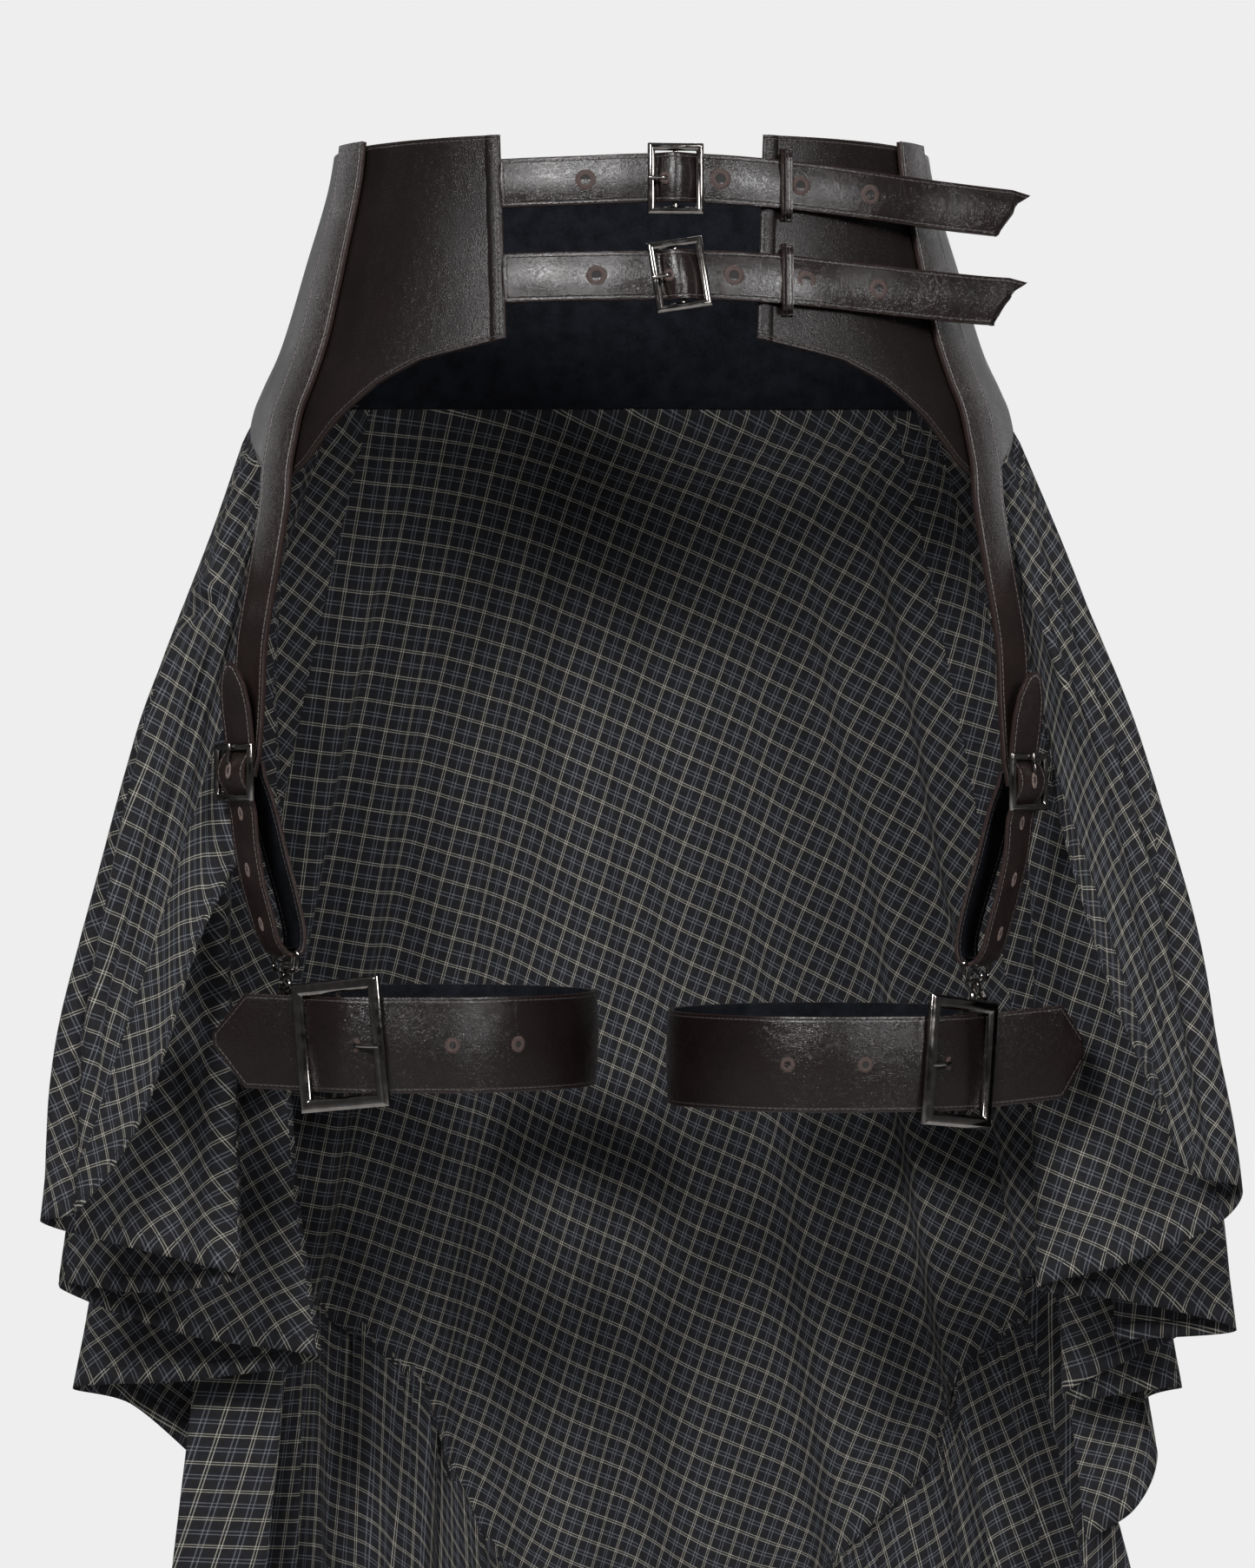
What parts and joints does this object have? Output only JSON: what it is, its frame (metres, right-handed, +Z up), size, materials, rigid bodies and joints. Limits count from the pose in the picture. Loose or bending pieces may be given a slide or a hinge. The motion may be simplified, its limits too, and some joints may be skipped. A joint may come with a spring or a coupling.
{
  "type": "plaid skirt",
  "caption": "Open-front plaid skirt on a leather hip harness: cascading side drapes, long gathered back, buckled belts, garter straps and thigh bands.",
  "frame": {"origin": "on the waist line, midway between the hips, level with the top edge of the leather, where the wearer's hips carry the harness", "axes": "+Z up, -Y the front of the garment, +X the wearer's left"},
  "size_m": [0.514, 0.3332, 0.8508],
  "materials": {
    "leather": "dark brown semi-gloss grain leather",
    "metal": "polished dark nickel",
    "plaid": "matte woven plaid, charcoal with pale and grey-blue lines"
  },
  "bodies": {
    "root": {"front_panel_right": "leather", "front_panel_left": "leather", "side_yoke_right": "leather", "side_yoke_left": "leather", "back_yoke": "leather", "waist_belt_upper": "leather", "waist_belt_lower": "leather", "buckle_tab_upper": "leather", "buckle_tab_lower": "leather", "keeper_upper": "leather", "keeper_lower": "leather", "garter_strap_right": "leather", "garter_strap_left": "leather", "garter_adjuster_right": "leather", "garter_adjuster_left": "leather", "thigh_band_right": "leather", "thigh_band_left": "leather", "waist_buckle_upper": "metal", "waist_buckle_lower": "metal", "waist_tongue_upper": "metal", "waist_tongue_lower": "metal", "garter_buckle_right": "metal", "garter_buckle_left": "metal", "garter_tongue_right": "metal", "garter_tongue_left": "metal", "garter_ring_right": "metal", "garter_ring_left": "metal", "garter_clasp_right": "metal", "garter_clasp_left": "metal", "thigh_buckle_right": "metal", "thigh_buckle_left": "metal", "thigh_tongue_right": "metal", "thigh_tongue_left": "metal", "side_drape_right": "plaid", "side_drape_left": "plaid", "edge_band_right": "plaid", "edge_band_left": "plaid", "back_skirt": "plaid", "back_flounce": "plaid"}
  },
  "joints": []
}
